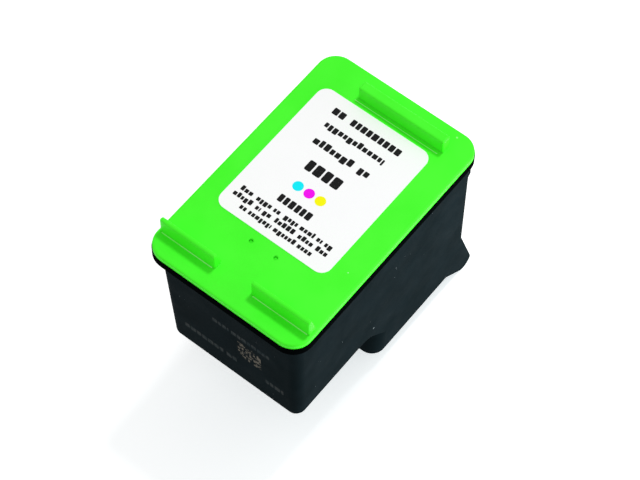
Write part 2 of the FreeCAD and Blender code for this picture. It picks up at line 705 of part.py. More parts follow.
def make_foam(name, side):
    """A chamber's foam block, with a hollow where it is pressed over the standpipe."""
    body = new_body("foam_" + re.sub("([A-Z])", r"_\1", name).lower().strip("_"))
    add_loft(body, "AdditiveLoft", "Block", chamber_sections(body, side, name, "foam_gap", "foam_top_depth"))
    if side != 0:
        add_loft(body, "AdditiveLoft", "DeepBlock", sump_sections(body, side, name, "foam_gap"))
    floor = "front_floor" if side == 0 else "sump_floor"
    across, place = standpipe_centre(side)
    hollow = new_sketch(body, "StandpipeHollow", "XY_Plane", f"-{floor}")
    add_circle(hollow, across, place, "standpipe_outside + 2 * foam_gap")
    add_feature(body, "Pocket", "StandpipeHollowCut", hollow, "standpipe_height + filter_thickness", backwards=True)

    # Room for the duct rib along the dividers and, at the rear, for its drop pipe.
    reach = "(duct_outside / 2 + foam_gap)"
    rib = new_sketch(body, "DuctRoom", "YZ_Plane")
    start = "front_standpipe" if side == 0 else "slope_start - step_place"
    bottom = f"-(duct_depth + {reach})" if side != 0 else "-front_floor - wall"
    add_rectangle(rib, start, "nose_place", bottom, f"-(duct_depth - {reach})")
    add_feature(body, "Pocket", "DuctRoomCut", rib, f"2 * {reach}", both_ways=True)
    if side != 0:
        drop = new_sketch(body, "DropRoom", "XY_Plane", "-duct_depth")
        add_circle(drop, "0", "rear_standpipe", f"2 * {reach}")
        add_feature(body, "Pocket", "DropRoomCut", drop, "deep_depth")
    return body


def make_filter(name, side):
    """The round woven screen on top of a standpipe."""
    body = new_body("filter_" + re.sub("([A-Z])", r"_\1", name).lower().strip("_"))
    floor = "front_floor" if side == 0 else "sump_floor"
    across, place = standpipe_centre(side)
    outline = new_sketch(body, "ScreenOutline", "XY_Plane", f"-{floor} + standpipe_height")
    add_circle(outline, across, place, "filter_diameter")
    add_feature(body, "Pad", "Screen", outline, "filter_thickness")
    return body


def make_duct_plug():
    """The plug pressed into the open end of the duct, flush with the recess of the rear wall."""
    body = new_body("duct_plug")
    face = f"({rear_wall("duct_depth")} - flex_recess - plug_sink)"
    outline = new_sketch(body, "PlugOutline", "XZ_Plane", f"-{face}")
    add_circle(outline, "0", "-duct_depth", "duct_bore - 2 * plug_clearance")
    add_feature(body, "Pad", "Plug", outline, "plug_length")
    return body


def make_die_adhesive():
    """The bead that seals the die to the snout, with a slot for each ink."""
    body = new_body("die_adhesive")
    outline = new_sketch(body, "AdhesiveOutline", "XY_Plane", "-pocket_floor")
    add_rectangle(outline, *die_edges("0"))
    add_slots(outline)
    add_feature(body, "Pad", "Adhesive", outline, "adhesive_thickness", backwards=True)
    return body


def make_die():
    """The silicon die, fed through three slots."""
    body = new_body("printhead_die")
    outline = new_sketch(body, "DieOutline", "XY_Plane", "-pocket_floor - adhesive_thickness")
    add_rectangle(outline, *die_edges("0"))
    add_slots(outline)
    add_feature(body, "Pad", "Die", outline, "die_thickness", backwards=True)
    return body


def make_nozzle_plate():
    """The thin plate with the nozzles, on the die's outer face."""
    body = new_body("nozzle_plate")
    level = "-pocket_floor - adhesive_thickness - die_thickness"
    outline = new_sketch(body, "PlateOutline", "XY_Plane", level)
    add_rectangle(outline, *die_edges("-nozzle_plate_margin"))
    add_feature(body, "Pad", "Plate", outline, "nozzle_plate_thickness", backwards=True)
    return body


def make_flex():
    """The flex circuit: wide over the contacts, narrow round the nose, with a window for the die."""
    body = new_body("flex_circuit")
    band = new_sketch(body, "Band", "YZ_Plane")
    add_wrap_band(band, "flex_recess", "flex_recess - flex_thickness", "field_top", "snout_front + flex_end_margin")
    add_feature(body, "Pad", "Film", band, "flex_width", both_ways=True)
    sides = new_sketch(body, "NeckSides", "XZ_Plane")
    for sign in ("-", ""):
        add_polygon(sides, [(f"{sign}flex_neck / 2", "-neck_start"),
                            (f"{sign}flex_width / 2", "-field_bottom"),
                            (f"{sign}flex_width", "-field_bottom"),
                            (f"{sign}flex_width", "-2 * depth_below_joint"),
                            (f"{sign}flex_neck / 2", "-2 * depth_below_joint")])
    add_feature(body, "Pocket", "NeckCut", sides, both_ways=True)
    window = new_sketch(body, "WindowOutline", "XY_Plane", "-pocket_floor")
    add_rectangle(window, *die_edges("die_clearance + window_clearance"))
    add_feature(body, "Pocket", "Window", window, "nose_radius")
    return body


def make_contacts():
    """The gold contacts: two mirrored blocks of columns, each column a little lower than the last."""
    body = new_body("contact_pads")
    body.AllowCompound = True
    body.Placement.Rotation = FreeCAD.Rotation(Vector(1, 0, 0), 1.0)
    bind(body, ".Placement.Base.y", "rear_place - (nose_place + nose_radius - flange_overhang) / 2")
    bind(body, ".Placement.Rotation.Angle", "atan(rear_lean)")
    outlines = new_sketch(body, "ContactOutlines", "XZ_Plane", "flex_recess - flex_thickness")
    for sign in (-1, 1):
        for column in range(CONTACT_COLUMNS_EACH_SIDE):
            across = f"{sign} * (contact_centre_gap / 2 + {column} * contact_pitch)"
            depth = f"(contact_top_depth + {CONTACT_COLUMNS_EACH_SIDE - 1 - column} * contact_stagger)"
            add_rectangle(outlines, f"{across} - contact_width / 2", f"{across} + contact_width / 2",
                          f"-{depth} - contact_height / 2", f"-{depth} + contact_height / 2")
    top_line = add_feature(body, "Pad", "TopLine", outlines, "contact_thickness", backwards=True)
    lines = body.newObject("PartDesign::LinearPattern", "ContactLines")
    lines.Originals = [top_line]
    lines.Direction = (outlines, ["V_Axis"])
    lines.Reversed = True
    lines.Mode = "Spacing"
    bind(lines, "Offset", "contact_drop")
    lines.Occurrences = CONTACT_ROWS
    body.Tip = lines
    doc.recompute()
    return body


def make_encapsulant(name, sign):
    """The bead of resin over one end of the die, where the flex circuit's leads reach it."""
    body = new_body(f"encapsulant_{name}")
    end = f"(die_place {sign} die_length / 2)"
    near = f"{end} {'+' if sign == '-' else '-'} encapsulant_overlap"
    far = f"{end} {sign} encapsulant_length"
    outline = new_sketch(body, "BeadOutline", "XY_Plane", "-snout_face - flex_thickness")
    low, high = (far, near) if sign == "-" else (near, far)
    add_rectangle(outline, "-encapsulant_width / 2", "encapsulant_width / 2", low, high)
    add_feature(body, "Pad", "Bead", outline, "encapsulant_height", backwards=True)
    crest = body.Shape.BoundBox.ZMin
    round_edges(body, "BeadDome", "encapsulant_round",
                lambda edge: is_near(edge.BoundBox.ZMax + body.Placement.Base.z, crest))
    return body


pieces = [make_housing(), make_lid(), make_label()]
pieces += [make_foam(name, side) for name, side in SIDES.items()]
pieces += [make_filter(name, side) for name, side in SIDES.items()]
pieces += [make_duct_plug(), make_die_adhesive(), make_die(), make_nozzle_plate()]
pieces += [make_flex(), make_contacts(), make_encapsulant("front", "-"), make_encapsulant("rear", "+")]

doc.recompute()
for item in doc.Objects:
    if {"Invalid", "Error"} & set(item.State):
        raise RuntimeError(f"{item.Name} failed: {item.State} {item.getStatusString()}")
os.makedirs("parts", exist_ok=True)
for piece in pieces:
    if piece.Shape.isNull() or not piece.Shape.isValid():
        raise RuntimeError(f"{piece.Label} has no valid shape")
    piece.Shape.exportStep(f"parts/{piece.Label}.step")
    print(piece.Label, round(piece.Shape.Volume, 1), len(piece.Shape.Solids), piece.Shape.BoundBox)
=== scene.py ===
import math
import random

import bmesh
import bpy
from mathutils import Matrix, Vector
from mathutils.bvhtree import BVHTree


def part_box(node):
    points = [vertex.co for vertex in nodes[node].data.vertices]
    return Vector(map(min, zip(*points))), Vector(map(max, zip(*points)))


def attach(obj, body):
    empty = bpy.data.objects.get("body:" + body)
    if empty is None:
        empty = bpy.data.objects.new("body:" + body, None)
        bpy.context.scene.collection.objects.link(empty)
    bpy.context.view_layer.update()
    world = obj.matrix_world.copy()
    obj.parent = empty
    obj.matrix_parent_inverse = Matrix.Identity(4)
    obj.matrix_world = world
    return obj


# Inkjet cartridge: green lid with a paper label, black moulded housing, contacts and printhead.
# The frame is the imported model's: metres, +X right, +Y towards the contacts, +Z up.
# Places on the cartridge are given in millimetres: to the right of its middle, back from the
# lid's front edge, and down from the joint between the lid and the housing.

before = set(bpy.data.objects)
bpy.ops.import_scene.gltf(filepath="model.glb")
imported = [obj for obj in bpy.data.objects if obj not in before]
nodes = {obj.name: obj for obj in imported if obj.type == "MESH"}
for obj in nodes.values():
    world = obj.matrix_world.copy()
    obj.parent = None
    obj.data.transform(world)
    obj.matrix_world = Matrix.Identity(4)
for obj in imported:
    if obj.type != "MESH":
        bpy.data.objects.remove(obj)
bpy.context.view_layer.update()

MM = 0.001
LID_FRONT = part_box("lid")[0].y
LID_THICKNESS = 1.2
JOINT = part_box("body_housing")[1].z
LID_TOP = JOINT + LID_THICKNESS * MM
LABEL_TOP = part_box("top_label")[1].z
NOZZLE_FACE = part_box("nozzle_plate")[0].z

# Where a mix of colours takes its factor and its colours, and where it gives the result.
MIX_FACTOR, MIX_FIRST, MIX_SECOND, MIX_RESULT = 0, 6, 7, 2

# The stretch that most values of a noise lie in.
NOISE_LOW, NOISE_HIGH = 0.3, 0.7


def put(tree, kind, inputs=None, **settings):
    """A shader node with its settings made and its inputs set or linked."""
    made = tree.nodes.new("ShaderNode" + kind)
    for name, value in settings.items():
        setattr(made, name, value)
    for name, value in (inputs or {}).items():
        if isinstance(value, bpy.types.NodeSocket):
            tree.links.new(value, made.inputs[name])
        else:
            made.inputs[name].default_value = value
    return made


def math_node(tree, operation, *values, clamp=False):
    """A Math node's result."""
    inputs = dict(enumerate(values))
    return put(tree, "Math", inputs, operation=operation, use_clamp=clamp).outputs[0]


def mixed(tree, factor, first, second):
    """A mix of two colours."""
    inputs = {MIX_FACTOR: factor, MIX_FIRST: first, MIX_SECOND: second}
    return put(tree, "Mix", inputs, data_type="RGBA").outputs[MIX_RESULT]


def ramp(tree, value, low, high, start=0.0, end=1.0):
    """A value remapped from one range to another, held at the ends."""
    inputs = {"Value": value, "From Min": low, "From Max": high, "To Min": start, "To Max": end}
    return put(tree, "MapRange", inputs).outputs["Result"]


def noise(tree, vector, scale, detail=2.0, roughness=0.5):
    """A noise texture's value."""
    inputs = {"Vector": vector, "Scale": scale, "Detail": detail, "Roughness": roughness}
    return put(tree, "TexNoise", inputs).outputs[0]


def new_group(name, inputs, outputs):
    """An empty node group with its sockets; gives the group, its inputs and its outputs."""
    group = bpy.data.node_groups.new(name, "ShaderNodeTree")
    for socket, kind in inputs:
        group.interface.new_socket(socket, in_out="INPUT", socket_type=kind)
    for socket, kind in outputs:
        group.interface.new_socket(socket, in_out="OUTPUT", socket_type=kind)
    return (group, group.nodes.new("NodeGroupInput").outputs,
            group.nodes.new("NodeGroupOutput").inputs)


# Moulded plastic: how fine each part of its pattern is, and how much each adds to the relief.
COARSE_SCALE, SINK_SCALE, GLOSS_SCALE, SHADE_SCALE, SPECK_SCALE = 420.0, 70.0, 240.0, 130.0, 340.0
GRAIN_PART, COARSE_PART, SINK_PART = 0.45, 0.35, 2.2
SPECK_REACH, SPECK_THRESHOLD = 0.045, 0.86


def make_moulded_group():
    """Moulded plastic: satin grain, slow sink marks and a few specks, by object coordinates."""
    group, given, result = new_group(
        "moulded_surface",
        [("Vector", "NodeSocketVector"), ("Grain Size", "NodeSocketFloat")],
        [("Height", "NodeSocketFloat"), ("Gloss Patches", "NodeSocketFloat"),
         ("Specks", "NodeSocketFloat"), ("Shade", "NodeSocketFloat")])
    vector = given["Vector"]

    scale = math_node(group, "DIVIDE", 1.0, given["Grain Size"])
    grain = noise(group, vector, scale, detail=3.0, roughness=0.6)
    coarse = noise(group, vector, COARSE_SCALE)
    sink = noise(group, vector, SINK_SCALE, detail=1.0)
    fine = math_node(group, "ADD", math_node(group, "MULTIPLY", grain, GRAIN_PART),
                     math_node(group, "MULTIPLY", coarse, COARSE_PART))
    height = math_node(group, "ADD", fine, math_node(group, "MULTIPLY", sink, SINK_PART))
    group.links.new(height, result["Height"])

    patches = noise(group, vector, GLOSS_SCALE, detail=4.0, roughness=0.65)
    group.links.new(ramp(group, patches, NOISE_LOW, NOISE_HIGH), result["Gloss Patches"])

    cells = put(group, "TexVoronoi", {"Vector": vector, "Scale": SPECK_SCALE})
    near = math_node(group, "LESS_THAN", cells.outputs["Distance"], SPECK_REACH)
    chance = put(group, "SeparateColor", {0: cells.outputs["Color"]}).outputs[0]
    picked = math_node(group, "GREATER_THAN", chance, SPECK_THRESHOLD)
    group.links.new(math_node(group, "MULTIPLY", near, picked), result["Specks"])

    group.links.new(noise(group, vector, SHADE_SCALE), result["Shade"])
    return group


moulded = make_moulded_group()


def linear(red, green, blue):
    """A colour picked as 0 to 255 on screen, as the linear colour that the shader takes."""
    def channel(value):
        value /= 255
        return value / 12.92 if value <= 0.04045 else ((value + 0.055) / 1.055) ** 2.4
    return (channel(red), channel(green), channel(blue), 1.0)


def new_material(name, **settings):
    """A material with a Principled shader; gives it, its tree, its shader and coordinates."""
    material = bpy.data.materials.new(name)
    material.use_nodes = True
    tree = material.node_tree
    shader = tree.nodes["Principled BSDF"]
    for socket, value in settings.items():
        shader.inputs[socket.replace("_", " ")].default_value = value
    coordinates = tree.nodes.new("ShaderNodeTexCoord").outputs["Object"]
    return material, tree, shader, coordinates


def add_bump(tree, shader, height, distance, edge=None):
    """Surface relief from a height, with softened edges if an edge radius is given."""
    inputs = {"Height": height, "Distance": distance, "Strength": 1.0}
    if edge is not None:
        inputs["Normal"] = put(tree, "Bevel", {"Radius": edge}, samples=6).outputs[0]
    bump = put(tree, "Bump", inputs)
    tree.links.new(bump.outputs[0], shader.inputs["Normal"])


# How far the roughness of a finish goes up and down from place to place.
GLOSS_SPREAD = 0.06

# The stretch of the slow noise in which the plastic turns from its base colour to the pale one.
SHADE_LOW, SHADE_HIGH = 0.35, 0.65

# Painted shade: the housing's flange is a rim under the lid painted darker, standing for the shade
# there, and it is also made duller; its height here is in metres.
FLANGE_BOTTOM = 0.04815
FLANGE_PAINTED_SHADE = (0.0006, 0.0010, 0.0012, 1)
FLANGE_BLUR = 0.00005
FLANGE_DULLNESS = 0.4


def make_plastic(name, base, pale, speck, roughness, grain_size, relief, edge, paints_flange_shade=False,
                 **settings):
    """Satin moulded plastic that varies a little from place to place, with painted shade on the
    flange if asked.
    """
    material, tree, shader, where = new_material(name, **settings)
    surface = put(tree, "Group", {"Vector": where, "Grain Size": grain_size}, node_tree=moulded)
    shade = ramp(tree, surface.outputs["Shade"], SHADE_LOW, SHADE_HIGH)
    colour = mixed(tree, shade, base, pale)
    colour = mixed(tree, surface.outputs["Specks"], colour, speck)
    gloss = ramp(tree, surface.outputs["Gloss Patches"], 0.0, 1.0,
                 roughness - GLOSS_SPREAD, roughness + GLOSS_SPREAD)
    if paints_flange_shade:
        # Painted shade: above this height the flange's colour is darkened to stand for the shade
        # under the lid, and its gloss is made duller.
        height = put(tree, "SeparateXYZ", {0: where}).outputs[2]
        flange_shade = ramp(tree, height, FLANGE_BOTTOM - FLANGE_BLUR, FLANGE_BOTTOM + FLANGE_BLUR)
        colour = mixed(tree, flange_shade, colour, FLANGE_PAINTED_SHADE)
        duller = math_node(tree, "MULTIPLY", flange_shade, FLANGE_DULLNESS)
        gloss = math_node(tree, "ADD", gloss, duller, clamp=True)
    tree.links.new(colour, shader.inputs["Base Color"])
    tree.links.new(gloss, shader.inputs["Roughness"])
    add_bump(tree, shader, surface.outputs["Height"], relief, edge)
    return material


lid_green = make_plastic(
    "lid_green", base=(0.054, 0.94, 0.017, 1), pale=(0.066, 0.965, 0.024, 1),
    speck=(0.35, 0.97, 0.30, 1), roughness=0.44, grain_size=0.00028, relief=0.000012,
    edge=0.00045, Specular_IOR_Level=0.12)
# Painted highlight: a lighter copy of the lid's green, for the bright lines at the feet of the ribs
# and a bright dot on the lid.
lid_highlight_green = make_plastic(
    "lid_highlight_green", base=(0.26, 1.0, 0.16, 1), pale=(0.38, 1.0, 0.28, 1),
    speck=(0.35, 1.0, 0.30, 1), roughness=0.35, grain_size=0.00028, relief=0.000008,
    edge=None, Specular_IOR_Level=0.15)
housing_black = make_plastic(
    "housing_black", base=(0.0034, 0.0072, 0.0086, 1), pale=(0.0052, 0.0098, 0.0118, 1),
    speck=(0.07, 0.09, 0.09, 1), roughness=0.48, grain_size=0.00025, relief=0.000010,
    edge=0.00025, paints_flange_shade=True, Specular_IOR_Level=0.002)

# Roughness of coated paper and of the ink on it, where the surface lies low and where it is high.
PRINT_GLOSS = (0.38, 0.5)

# How fine the paper's fibre and tint, the ink's grain and the marks' wear are.
FIBRE_SCALE, CLOUD_SCALE, INK_SCALE, WEAR_SCALE = 2600.0, 190.0, 3200.0, 900.0
# Paper shows through where the ink's grain is high, and lightens the ink by this part.
THIN_INK_LOW, THIN_INK_HIGH, PAPER_SHOWING = 0.62, 0.85, 0.07
WEAR_LOW, WEAR_HIGH = 0.38, 0.62


def make_paper():
    """Coated label paper: almost smooth, with a faint fibre relief."""
    material, tree, shader, where = new_material("label_paper", Specular_IOR_Level=0.2)
    fibre = noise(tree, where, FIBRE_SCALE, detail=3.0, roughness=0.6)
    cloud = noise(tree, where, CLOUD_SCALE)
    colour = mixed(tree, cloud, (0.945, 0.945, 0.95, 1), (0.965, 0.965, 0.965, 1))
    tree.links.new(colour, shader.inputs["Base Color"])
    gloss = ramp(tree, fibre, NOISE_LOW, NOISE_HIGH, *PRINT_GLOSS)
    tree.links.new(gloss, shader.inputs["Roughness"])
    add_bump(tree, shader, fibre, distance=0.000008)
    return material


def make_ink(name, colour):
    """Printed ink, a little uneven where the paper shows through."""
    material, tree, shader, where = new_material(name, Specular_IOR_Level=0.08)
    grain = noise(tree, where, INK_SCALE)
    pale = tuple(part + PAPER_SHOWING * (1 - part) for part in colour[:3]) + (1.0,)
    shown = mixed(tree, ramp(tree, grain, THIN_INK_LOW, THIN_INK_HIGH), colour, pale)
    gloss = ramp(tree, grain, NOISE_LOW, NOISE_HIGH, *PRINT_GLOSS)
    tree.links.new(shown, shader.inputs["Base Color"])
    tree.links.new(gloss, shader.inputs["Roughness"])
    return material


label_paper = make_paper()
ink_black = make_ink("ink_black", linear(12, 12, 13))
ink_cyan = make_ink("ink_cyan", (0.0, 0.83, 0.93, 1.0))
ink_magenta = make_ink("ink_magenta", (0.90, 0.0, 0.86, 1.0))
ink_yellow = make_ink("ink_yellow", (0.95, 0.92, 0.0, 1.0))


def make_mark(name, faint, plain):
    """A mark made in the black plastic, worn away in places."""
    material, tree, shader, where = new_material(name, Specular_IOR_Level=0.02, Roughness=0.6)
    scratches = noise(tree, where, WEAR_SCALE, detail=3.0, roughness=0.7)
    wear = ramp(tree, scratches, WEAR_LOW, WEAR_HIGH)
    tree.links.new(mixed(tree, wear, faint, plain), shader.inputs["Base Color"])
    return material


mark_grey = make_mark("mark_grey", (0.004, 0.012, 0.015, 1), (0.030, 0.034, 0.034, 1))
mark_tan = make_mark("mark_tan", (0.014, 0.016, 0.015, 1), (0.150, 0.135, 0.110, 1))


def make_plain(name, dark, pale, scale, roughness, relief, **settings):
    """A material whose colour, gloss and relief follow one noise."""
    material, tree, shader, where = new_material(name, **settings)
    value = noise(tree, where, scale, detail=3.0, roughness=0.6)
    colour = mixed(tree, ramp(tree, value, NOISE_LOW, NOISE_HIGH), dark, pale)
    gloss = ramp(tree, value, NOISE_LOW, NOISE_HIGH,
                 roughness - GLOSS_SPREAD, roughness + GLOSS_SPREAD)
    tree.links.new(colour, shader.inputs["Base Color"])
    tree.links.new(gloss, shader.inputs["Roughness"])
    add_bump(tree, shader, value, relief)
    return material


def make_foam(name, dark, pale):
    """Foam soaked with ink."""
    return make_plain(name, dark, pale, scale=1500.0, roughness=0.8, relief=0.0002)


screen_steel = make_plain(
    "screen_steel", dark=(0.35, 0.35, 0.34, 1), pale=(0.60, 0.60, 0.58, 1), scale=6000.0,
    roughness=0.35, relief=0.00003, Metallic=1.0)
resin_black = make_plain(
    "resin_black", dark=(0.008, 0.008, 0.009, 1), pale=(0.02, 0.02, 0.021, 1), scale=500.0,
    roughness=0.2, relief=0.00005)
trace_copper = make_plain(
    "trace_copper", dark=(0.54, 0.255, 0.080, 1), pale=(0.585, 0.285, 0.094, 1), scale=300.0,
    roughness=0.3, relief=0.000004, Metallic=0.6)
dust_white = make_plain(
    "dust_white", dark=(0.12, 0.14, 0.15, 1), pale=(0.50, 0.53, 0.54, 1), scale=6000.0,
    roughness=0.8, relief=0.00001)

finishes = {
    "lid": lid_green,
    "body_housing": housing_black,
    "top_label": label_paper,
    "foam_front": make_foam("foam_magenta", (0.20, 0.005, 0.07, 1), (0.45, 0.02, 0.18, 1)),
    "foam_rear_left": make_foam("foam_cyan", (0.005, 0.10, 0.22, 1), (0.02, 0.25, 0.42, 1)),
    "foam_rear_right": make_foam("foam_yellow", (0.45, 0.33, 0.01, 1), (0.75, 0.58, 0.03, 1)),
    "filter_front": screen_steel,
    "filter_rear_left": screen_steel,
    "filter_rear_right": screen_steel,
    "duct_plug": make_plain(
        "plug_black", dark=(0.012, 0.012, 0.013, 1), pale=(0.03, 0.03, 0.032, 1), scale=1800.0,
        roughness=0.5, relief=0.00002),
    "die_adhesive": make_plain(
        "adhesive_brown", dark=(0.06, 0.045, 0.03, 1), pale=(0.12, 0.10, 0.08, 1), scale=1500.0,
        roughness=0.3, relief=0.00002),
    "printhead_die": make_plain(
        "silicon_grey", dark=(0.05, 0.055, 0.07, 1), pale=(0.10, 0.11, 0.13, 1), scale=900.0,
        roughness=0.18, relief=0.000004, Metallic=0.6),
    "nozzle_plate": make_plain(
        "nozzle_film", dark=(0.16, 0.09, 0.035, 1), pale=(0.26, 0.16, 0.07, 1), scale=900.0,
        roughness=0.3, relief=0.000004),
    "flex_circuit": make_plain(
        "flex_amber", dark=(0.30, 0.095, 0.006, 1), pale=(0.36, 0.12, 0.010, 1), scale=90.0,
        roughness=0.26, relief=0.00001, Coat_Weight=0.1, Specular_IOR_Level=0.3),
    "contact_pads": make_plain(
        "contact_gold", dark=(0.60, 0.38, 0.11, 1), pale=(0.68, 0.45, 0.15, 1), scale=1300.0,
        roughness=0.28, relief=0.000008, Metallic=1.0),
    "encapsulant_front": resin_black,
    "encapsulant_rear": resin_black,
}
for node, finish in finishes.items():
    if not nodes[node].material_slots:
        nodes[node].data.materials.append(finish)
    for place in nodes[node].material_slots:
        place.material = finish


def new_piece(name, bm, material):
    """A bmesh made into a piece that rides on the cartridge, its faces turned outwards."""
    bmesh.ops.recalc_face_normals(bm, faces=bm.faces)
    mesh = bpy.data.meshes.new(name)
    bm.to_mesh(mesh)
    bm.free()
    mesh.materials.append(material)
    piece = bpy.data.objects.new(name, mesh)
    bpy.context.scene.collection.objects.link(piece)
    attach(piece, "root")


def extrude_through(bm, rings):
    """A closed solid: the first ring of places is filled, and extruded on to each ring after it."""
    end = bm.faces.new([bm.verts.new(place) for place in rings[0]])
    for ring in rings[1:]:
        made = bmesh.ops.extrude_face_region(bm, geom=[end, *end.edges, *end.verts])["geom"]
        end = next(part for part in made if isinstance(part, bmesh.types.BMFace))
        for vertex, place in zip(end.verts, ring):
            vertex.co = place


def add_plate(bm, outline, place, thickness):
    """A thin flat plate whose outline, in millimetres, is put on a face by place()."""
    extrude_through(bm, [[place(x, y, rise) for x, y in outline] for rise in (0.0, thickness)])


def bar(left, right, low, high, round_part, steps):
    """The outline of a bar with rounded corners."""
    radius = round_part * (high - low)
    points = []
    for cx, cy, start in ((right - radius, low + radius, -90), (right - radius, high - radius, 0),
                          (left + radius, high - radius, 90), (left + radius, low + radius, 180)):
        for k in range(steps + 1):
            angle = math.radians(start + 90 * k / steps)
            points.append((cx + radius * math.cos(angle), cy + radius * math.sin(angle)))
    return points


def disc(cx, cy, radius, sides):
    """The outline of a disc."""
    return [(cx + radius * math.cos(2 * math.pi * k / sides),
             cy + radius * math.sin(2 * math.pi * k / sides)) for k in range(sides)]


# Prints and marks stand this far off the surface under them, so that the two faces stay apart.
INK_CLEARANCE, MARK_CLEARANCE, NOZZLE_CLEARANCE = 0.004, 0.002, 0.001
INK_THICKNESS = 0.004

# Blocks that stand for letters: sizes are parts of the height of a tall block.
NARROWEST, WIDEST_TALL, WIDEST_SMALL = 0.5, 0.9, 0.75
LETTER_GAP, LETTER_ROUND, SHORTEST_REST = 0.15, 0.12, 0.25
LETTER_CORNER_STEPS = 2
TALL, SMALL, TAILED = (1.0, 0.0), (0.74, 0.0), (0.74, 0.24)


def on_label(x, y, rise):
    """A place on the label."""
    return Vector((x * MM, LID_FRONT + y * MM, LABEL_TOP + (INK_CLEARANCE + rise) * MM))


def add_words(bm, runs, place, low, high, seed, capitals):
    """Runs of plain blocks between two heights; they stand for print and spell nothing."""
    draw = random.Random(seed)
    tall = high - low
    widest = WIDEST_TALL if capitals else WIDEST_SMALL
    for left, right in runs:
        x = left
        while x < right - SHORTEST_REST * tall:
            width = min(tall * draw.uniform(NARROWEST, widest), right - x)
            rise, drop = TALL if capitals else draw.choice((SMALL, SMALL, TALL, TAILED))
            letter = bar(x, x + width, low - drop * tall, low + rise * tall,
                         LETTER_ROUND, LETTER_CORNER_STEPS)
            add_plate(bm, letter, place, INK_THICKNESS)
            x += width + LETTER_GAP * tall


# Print runs on the label: low and high edge, whether all blocks are tall, and the words' ends.
PRINT_LINES = [
    (42.9, 44.4, True, [(-8.7, -5.5), (-4.5, 6.7)]),
    (39.8, 41.2, False, [(-8.0, 5.5)]),
    (35.7, 37.3, False, [(-7.5, 1.4), (2.8, 5.6)]),
    (30.3, 32.7, True, [(-5.2, 3.1)]),
    (22.1, 23.8, True, [(-4.9, 2.8)]),
    (19.8, 20.9, False, [(-11.4, -8.4), (-7.8, -4.5), (-3.9, -2.1), (-1.5, 1.5), (2.1, 5.3),
                         (5.9, 7.1), (7.7, 9.3)]),
    (18.2, 19.3, False, [(-11.9, -7.4), (-6.8, -5.7), (-5.1, -3.0), (-2.4, 2.3), (2.9, 6.3),
                         (6.9, 9.7)]),
    (16.6, 17.7, False, [(-9.1, -7.7), (-7.1, -2.0), (-1.4, 3.4), (4.0, 7.1)]),
]
sheet = bmesh.new()
for seed, (low, high, capitals, runs) in enumerate(PRINT_LINES):
    add_words(sheet, runs, on_label, low, high, seed, capitals)
new_piece("label_print", sheet, ink_black)

DOT_BACK, DOT_RADIUS, DOT_SIDES = 26.77, 1.05, 48
for name, x, ink in (("label_dot_cyan", -3.58, ink_cyan), ("label_dot_magenta", -1.02, ink_magenta),
                     ("label_dot_yellow", 1.54, ink_yellow)):
    dot = bmesh.new()
    add_plate(dot, disc(x, DOT_BACK, DOT_RADIUS, DOT_SIDES), on_label, INK_THICKNESS)
    new_piece(name, dot, ink)


def make_surface(node):
    """The faces of a CAD piece, to find places on them."""
    piece = nodes[node]
    corners = [piece.matrix_world @ vertex.co for vertex in piece.data.vertices]
    return BVHTree.FromPolygons(corners, [face.vertices for face in piece.data.polygons])


housing = make_surface("body_housing")
# Metres from the middle, further out than any wall.
OUTSIDE = 0.1


def on_housing(start, towards, rise):
    """The place where a line from outside meets the housing, lifted off it."""
    spot, normal, _, _ = housing.ray_cast(Vector(start), Vector(towards))
    return spot + normal * (MARK_CLEARANCE + rise) * MM


def on_front(x, depth, rise):
    """A place on the front wall."""
    return on_housing((x * MM, -OUTSIDE, JOINT - depth * MM), (0, 1, 0), rise)


def on_right(y, depth, rise):
    """A place on the right wall."""
    return on_housing((OUTSIDE, LID_FRONT + y * MM, JOINT - depth * MM), (-1, 0, 0), rise)


def under_front(x, y, rise):
    """A place on the underside of the shallow front part."""
    return on_housing((x * MM, LID_FRONT + y * MM, 0.0), (0, 0, 1), rise)


def on_lid(x, y, rise):
    """A place on the lid's top."""
    return Vector((x * MM, LID_FRONT + y * MM, LID_TOP + (MARK_CLEARANCE + rise) * MM))


# A square of chance blocks on the front wall; it holds no code.
SQUARE_LEFT, SQUARE_DEPTH = 1.7, 16.0
SQUARE_WIDTH, SQUARE_HEIGHT, SQUARE_CELLS = 5.4, 5.7, 12
ALL_GAPS = 0.1
BLOCK_WIDTH = (SQUARE_WIDTH - ALL_GAPS) / SQUARE_CELLS
BLOCK_HEIGHT = (SQUARE_HEIGHT - ALL_GAPS) / SQUARE_CELLS
BLOCK_SHARE, BLOCK_THICKNESS = 0.55, 0.003
BLOCK_ROUND, BLOCK_CORNER_STEPS = 0.08, 1
draw = random.Random(41)
blocks = bmesh.new()
for row in range(SQUARE_CELLS):
    for column in range(SQUARE_CELLS):
        if draw.random() < BLOCK_SHARE:
            x = SQUARE_LEFT + SQUARE_WIDTH * column / SQUARE_CELLS
            depth = SQUARE_DEPTH + SQUARE_HEIGHT * row / SQUARE_CELLS
            block = bar(x, x + BLOCK_WIDTH, depth, depth + BLOCK_HEIGHT,
                        BLOCK_ROUND, BLOCK_CORNER_STEPS)
            add_plate(blocks, block, on_front, BLOCK_THICKNESS)
new_piece("front_block_mark", blocks, mark_tan)

# Rows of plain blocks on the front wall, by their depths and ends; they stand for moulded words.
ROWS_BASE = 40.0
MARK_ROWS = [(14.6, 13.3, 52, [(-4.0, -0.2), (0.4, 9.7)]),
             (25.8, 24.3, 53, [(-11.4, -2.2), (-1.4, 1.0), (7.9, 12.1)])]


def on_front_upwards(x, up, rise):
    """A place on the front wall, its height counted up from a line below the rows."""
    return on_front(x, ROWS_BASE - up, rise)


rows = bmesh.new()
for bottom, top, seed, runs in MARK_ROWS:
    add_words(rows, runs, on_front_upwards, ROWS_BASE - bottom, ROWS_BASE - top, seed, True)
new_piece("front_row_marks", rows, mark_grey)

